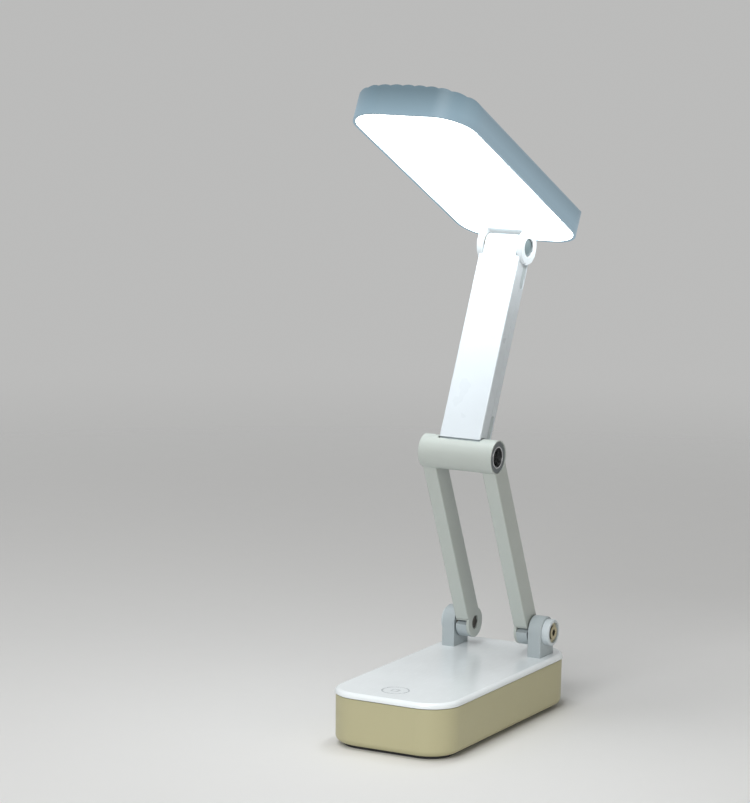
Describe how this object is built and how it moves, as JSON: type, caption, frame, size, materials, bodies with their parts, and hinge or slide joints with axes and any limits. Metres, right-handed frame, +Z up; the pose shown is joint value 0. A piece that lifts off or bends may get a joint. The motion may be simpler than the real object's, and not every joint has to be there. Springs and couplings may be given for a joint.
{
  "type": "folding led desk lamp",
  "caption": "Rechargeable desk lamp: flat base with a touch ring, two-legged fork, upper arm that folds between the legs, and a flat light panel hinged on top.",
  "frame": {"origin": "centre of the foot pad's underside, on the table under the middle of the base", "axes": "+Z up; +X across the lamp, along all its hinges; -Y is the front, where the touch ring and the free end of the light panel are"},
  "size_m": [0.08, 0.1848, 0.3848],
  "materials": {
    "tub_plastic": "satin moulded plastic, off-white",
    "foot_rubber": "matt silicone pad",
    "cover_plastic": "polished white plastic",
    "touch_print": "grey inlay of the touch mark",
    "screw_steel": "zinc-plated screw",
    "ballast_iron": "plain ballast plate",
    "inner_plastic": "moulded inner plastic",
    "cell_sleeve": "shrink sleeve of the cell",
    "board_green": "printed board",
    "board_black": "moulded electronic components",
    "socket_steel": "folded steel shell",
    "sensor_foam": "conductive foam",
    "hinge_plastic": "satin light grey plastic",
    "bolt_steel": "yellow-plated steel",
    "washer_brass": "dull brass",
    "friction_fibre": "friction washer",
    "frame_plastic": "satin off-white plastic",
    "knuckle_grey": "satin grey plastic",
    "bushing_grey": "dark grey plastic ring",
    "tube_aluminium": "turned tube",
    "head_plastic": "satin blue-grey white plastic",
    "diffuser_white": "opal plastic, lit from behind",
    "guide_acrylic": "clear acrylic sheet",
    "reflector_film": "white reflector film",
    "backing_aluminium": "plain sheet",
    "strip_white": "white printed strip",
    "led_yellow": "LED package"
  },
  "bodies": {
    "base": {"base_tub": "tub_plastic", "foot_pad": "foot_rubber", "base_cover": "cover_plastic", "touch_ring": "touch_print", "base_screws": "screw_steel", "ballast_plate": "ballast_iron", "battery_cradle": "inner_plastic", "battery_cell": "cell_sleeve", "main_board": "board_green", "board_parts": "board_black", "board_screws": "screw_steel", "charging_socket": "socket_steel", "touch_board": "board_green", "touch_pad": "sensor_foam", "touch_board_screws": "screw_steel", "ear_right": "hinge_plastic", "ear_left": "hinge_plastic", "ear_screws": "screw_steel", "pivot_knob_right": "hinge_plastic", "pivot_knob_left": "hinge_plastic"},
    "pivot_core": {"pivot_bolt_right": "bolt_steel", "pivot_bolt_left": "bolt_steel", "pivot_nut_right": "bolt_steel", "pivot_nut_left": "bolt_steel", "pivot_washer_right": "washer_brass", "pivot_washer_left": "washer_brass", "friction_washer_right": "friction_fibre", "friction_washer_left": "friction_fibre"},
    "fork": {"fork_frame": "frame_plastic", "leg_cover_right": "frame_plastic", "leg_cover_left": "frame_plastic", "fork_knuckle_right": "hinge_plastic", "fork_knuckle_left": "hinge_plastic", "elbow_bushing_right": "bushing_grey", "elbow_bushing_left": "bushing_grey"},
    "arm": {"arm_front_shell": "frame_plastic", "arm_back_cover": "frame_plastic", "arm_lower_knuckle": "knuckle_grey", "arm_upper_knuckle": "knuckle_grey", "arm_screws": "screw_steel", "elbow_tube": "tube_aluminium", "elbow_washer_right": "friction_fibre", "elbow_washer_left": "friction_fibre"},
    "head_core": {"wrist_tube": "tube_aluminium", "wrist_plug_right": "knuckle_grey", "wrist_plug_left": "knuckle_grey", "wrist_washer_right": "friction_fibre", "wrist_washer_left": "friction_fibre"},
    "head": {"head_shell": "head_plastic", "diffuser": "diffuser_white", "light_guide": "guide_acrylic", "reflector_sheet": "reflector_film", "backing_plate": "backing_aluminium", "led_strip_right": "strip_white", "led_strip_left": "strip_white", "leds_right": "led_yellow", "leds_left": "led_yellow", "head_bracket": "head_plastic", "bracket_screws": "screw_steel"}
  },
  "joints": [
    {"name": "fork_lay", "type": "hinge", "parent": "base", "child": "pivot_core", "pos_m": [0, 0.061, 0.0488], "axis": [1, 0, 0], "range_deg": [-2.27, 56.99]},
    {"name": "fork_tilt", "type": "hinge", "parent": "pivot_core", "child": "fork", "pos_m": [0, 0.061, 0.0488], "axis": [1, 0, 0], "range_deg": [-12, 8]},
    {"name": "arm_fold", "type": "hinge", "parent": "fork", "child": "arm", "pos_m": [0, 0.00742, 0.16317], "axis": [-1, 0, 0], "range_deg": [-5, 130.6]},
    {"name": "head_close", "type": "hinge", "parent": "arm", "child": "head_core", "pos_m": [0, 0.06133, 0.28257], "axis": [1, 0, 0], "range_deg": [-2.5, 62.8]},
    {"name": "head_tilt", "type": "hinge", "parent": "head_core", "child": "head", "pos_m": [0, 0.06133, 0.28257], "axis": [-1, 0, 0], "range_deg": [-30, 15]}
  ],
  "couplings": [
    {"joint": "fork_lay", "follows": "arm_fold", "ratio": 0.4357},
    {"joint": "head_close", "follows": "arm_fold", "ratio": 0.4801}
  ]
}
